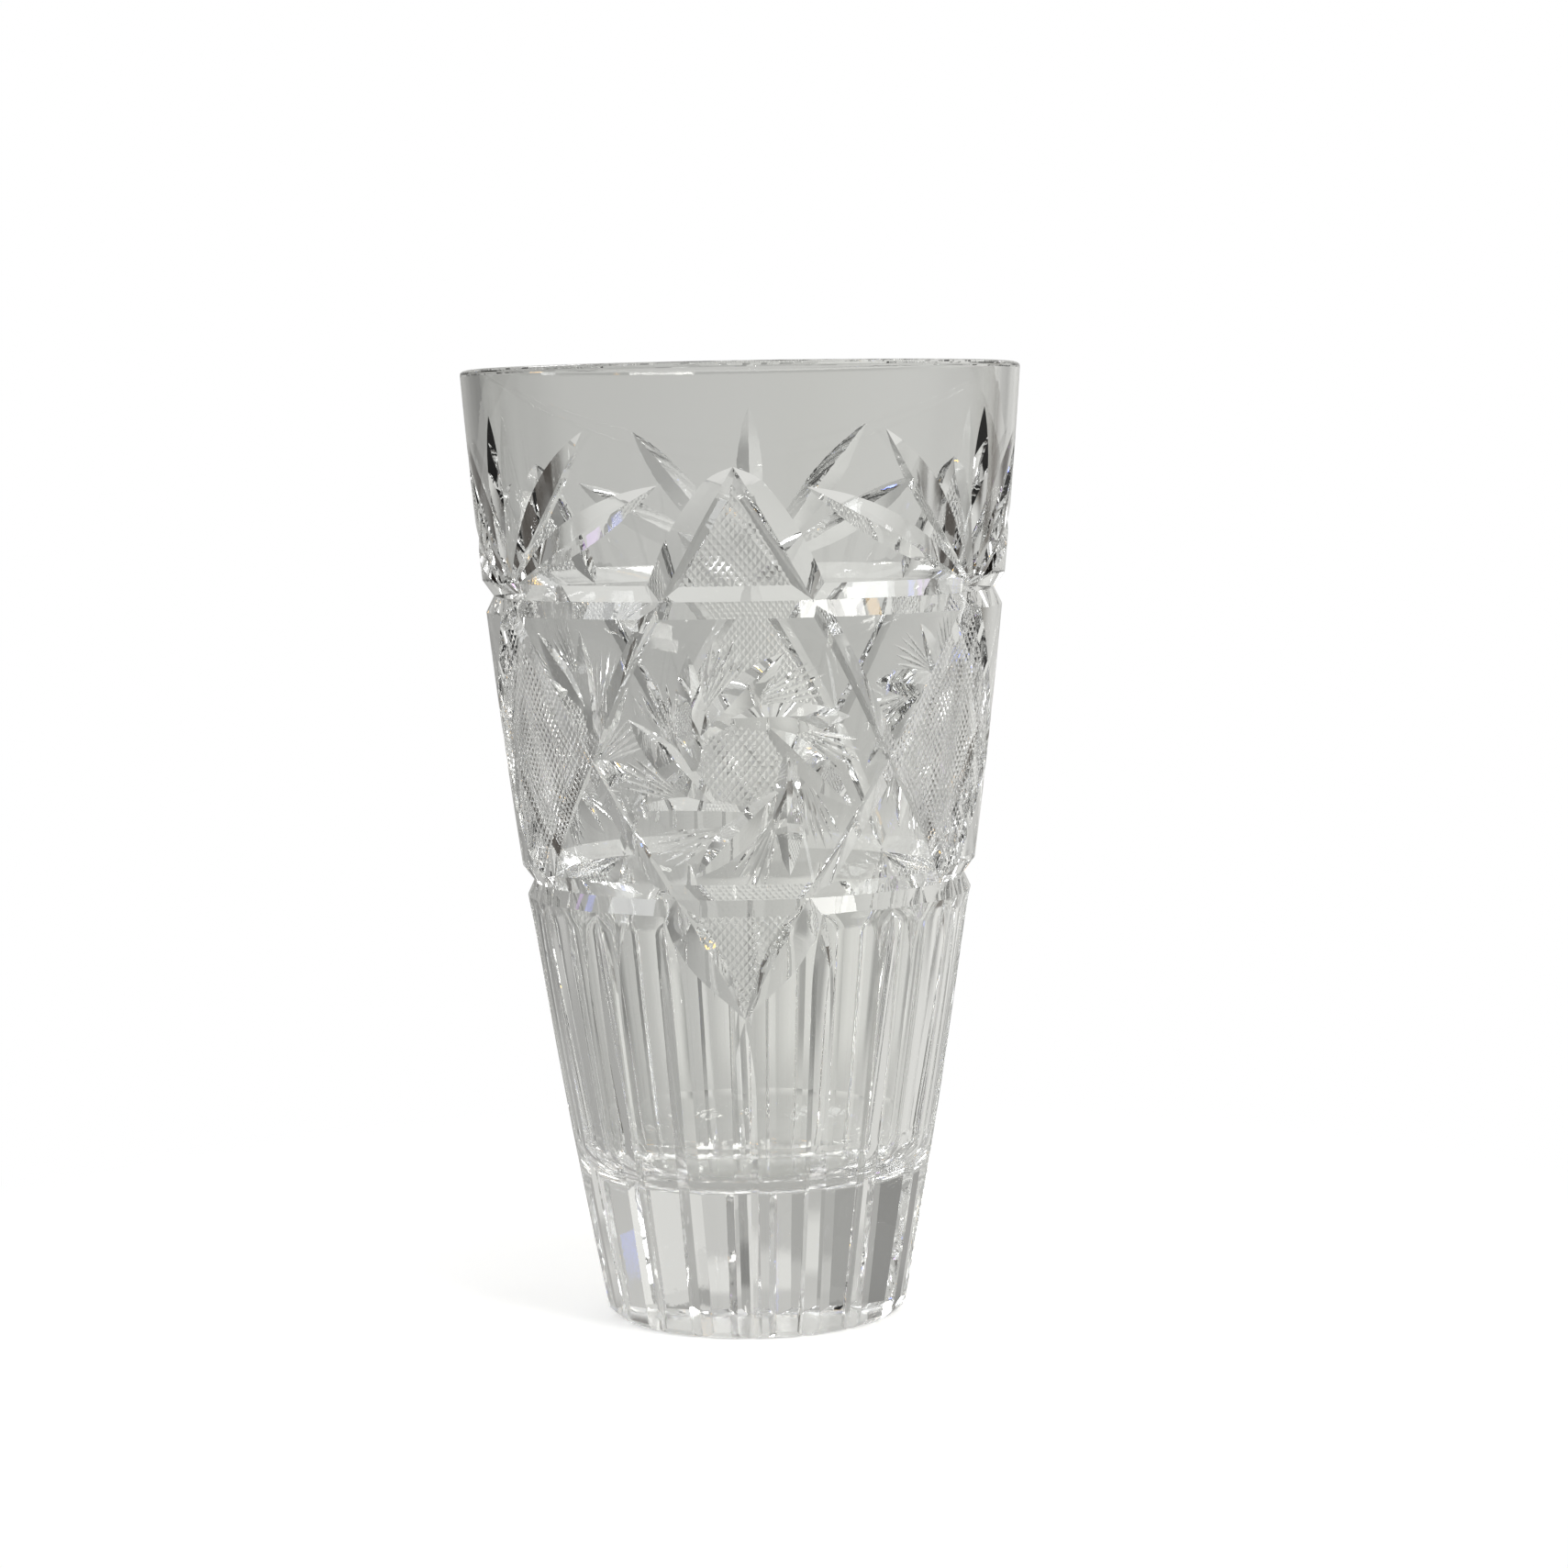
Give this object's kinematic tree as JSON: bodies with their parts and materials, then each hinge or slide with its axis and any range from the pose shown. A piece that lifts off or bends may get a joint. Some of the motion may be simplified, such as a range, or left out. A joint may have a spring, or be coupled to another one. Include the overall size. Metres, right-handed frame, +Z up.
{
  "type": "vase",
  "caption": "Tapered clear cut-crystal vase with a thick solid foot, ring grooves, hatched lozenges, pinwheels, leaf-cut fans and a fluted foot.",
  "frame": {"origin": "centre of the flat resting face under the foot", "axes": "+Z up along the vase's axis of turning; -Y is the middle of one large lozenge, with its pinwheel; +X to that lozenge's right"},
  "size_m": [0.1464, 0.1464, 0.25],
  "materials": {
    "crystal": "clear crystal, polished, with frosted crosshatching"
  },
  "bodies": {
    "root": {"vase_body": "crystal"}
  },
  "joints": []
}
